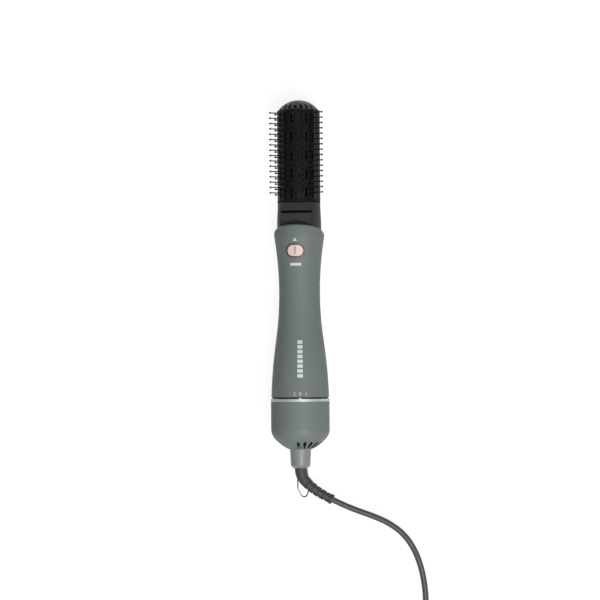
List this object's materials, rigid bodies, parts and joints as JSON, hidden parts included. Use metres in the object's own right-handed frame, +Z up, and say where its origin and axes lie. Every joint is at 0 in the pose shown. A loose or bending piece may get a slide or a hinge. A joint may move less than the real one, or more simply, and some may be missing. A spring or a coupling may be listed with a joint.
{
  "type": "hot air brush",
  "caption": "Hand-held hot air styling brush with a waisted handle, turning cap, release button, bristled round head, swivel cord with a hanging loop and a two-pin plug.",
  "frame": {"origin": "the point under the silver ring where the tool rests on the table", "axes": "the tool lies on the table with its front (button side) up: +Y runs along the tool to the tip, +X to the right of the button, +Z up from the table; the tool's own axis dips 1.51 degrees to the tip"},
  "size_m": [0.1794, 0.5766, 0.0537],
  "materials": {
    "handle_plastic": "soft-touch satin grey-green",
    "collar_plastic": "satin grey-green, a little lighter",
    "rim_plastic": "satin, lighter edge",
    "head_plastic": "satin dark grey, glass-filled",
    "panel_plastic": "satin dark green-grey",
    "tip_plastic": "satin dark grey",
    "bristle_plastic": "nylon, ball ended",
    "rose_gold": "metallised rose gold",
    "rose_gold_dark": "metallised darker rose",
    "silver_trim": "satin metallised ring",
    "relief_rubber": "ribbed boot",
    "cord_jacket": "flexible cord",
    "plug_rubber": "moulded plug",
    "tie_plastic": "strap",
    "pin_metal": "nickel-plated pins",
    "brass": "slip rings",
    "wire_steel": "dark spring wire",
    "motor_steel": "plain steel",
    "inner_plastic": "natural heat-resistant plastic",
    "mica": "mica sheet",
    "heating_alloy": "resistance wire",
    "board": "circuit board",
    "filter_mesh": "fine dark mesh"
  },
  "bodies": {
    "cord_swivel": {"swivel_collar": "collar_plastic", "slip_rings": "brass", "strain_relief": "relief_rubber", "cord_lead": "cord_jacket", "cord_coil": "cord_jacket", "cord_tail": "cord_jacket", "cord_tie": "tie_plastic", "plug_body": "plug_rubber", "plug_pin_a": "pin_metal", "plug_pin_b": "pin_metal"},
    "hanging_loop": {"hanging_loop": "wire_steel"},
    "handle": {"front_shell": "handle_plastic", "rear_shell": "handle_plastic", "rim_ring": "rim_plastic", "button_bezel": "rose_gold_dark", "inner_frame": "inner_plastic", "swivel_socket": "inner_plastic", "fan_housing": "inner_plastic", "motor_can": "motor_steel", "motor_end_cap": "inner_plastic", "heater_sleeve": "mica", "heater_board_a": "mica", "heater_board_b": "mica", "heating_coil": "heating_alloy", "thermal_cutout": "motor_steel", "circuit_board": "board", "switch_body": "inner_plastic", "latch_bracket": "inner_plastic", "latch_pin": "wire_steel"},
    "selector": {"selector_cap": "handle_plastic", "selector_ring": "silver_trim", "inlet_filter": "filter_mesh", "switch_cam": "inner_plastic"},
    "brush_head": {"head_neck": "head_plastic", "front_panel": "panel_plastic", "barrel_front": "head_plastic", "barrel_back": "head_plastic", "tip_cap": "tip_plastic", "tie_rod": "motor_steel", "bristle_row_1": "bristle_plastic", "bristle_row_2": "bristle_plastic", "bristle_row_3": "bristle_plastic", "bristle_row_4": "bristle_plastic", "bristle_row_5": "bristle_plastic", "bristle_row_6": "bristle_plastic", "bristle_row_7": "bristle_plastic"},
    "release_button": {"button_cap": "rose_gold"},
    "latch": {"latch_lever": "motor_steel"},
    "fan": {"motor_shaft": "motor_steel", "fan_impeller": "inner_plastic", "armature": "motor_steel"}
  },
  "joints": [
    {"name": "swivel", "type": "hinge", "parent": "cord_swivel", "child": "handle", "pos_m": [0, -0.06144, 0.02821], "axis": [0, 0.9996, -0.0277], "continuous": true},
    {"name": "loop_swing", "type": "hinge", "parent": "cord_swivel", "child": "hanging_loop", "pos_m": [0, -0.06166, 0.02042], "axis": [1, 0, 0], "range_deg": [-18, 65]},
    {"name": "selector_turn", "type": "hinge", "parent": "handle", "child": "selector", "pos_m": [0, -0.06144, 0.02821], "axis": [0, 0.9996, -0.0277], "range_deg": [-11.5, 11.5]},
    {"name": "head_slide", "type": "slide", "parent": "handle", "child": "brush_head", "axis": [0, 0.9996, -0.0277], "range_m": [0, 0.045]},
    {"name": "button_press", "type": "slide", "parent": "handle", "child": "release_button", "axis": [0, -0.0277, -0.9996], "range_m": [0, 0.001], "stiffness_N_per_m": 1500},
    {"name": "latch_tilt", "type": "hinge", "parent": "handle", "child": "latch", "pos_m": [0, 0.13683, 0.03892], "axis": [1, 0, 0], "range_deg": [0, 8.9]},
    {"name": "fan_spin", "type": "hinge", "parent": "handle", "child": "fan", "pos_m": [0, -0.06144, 0.02821], "axis": [0, 0.9996, -0.0277], "continuous": true}
  ],
  "couplings": [
    {"joint": "latch_tilt", "follows": "button_press", "rad_per_m": 153.59}
  ]
}
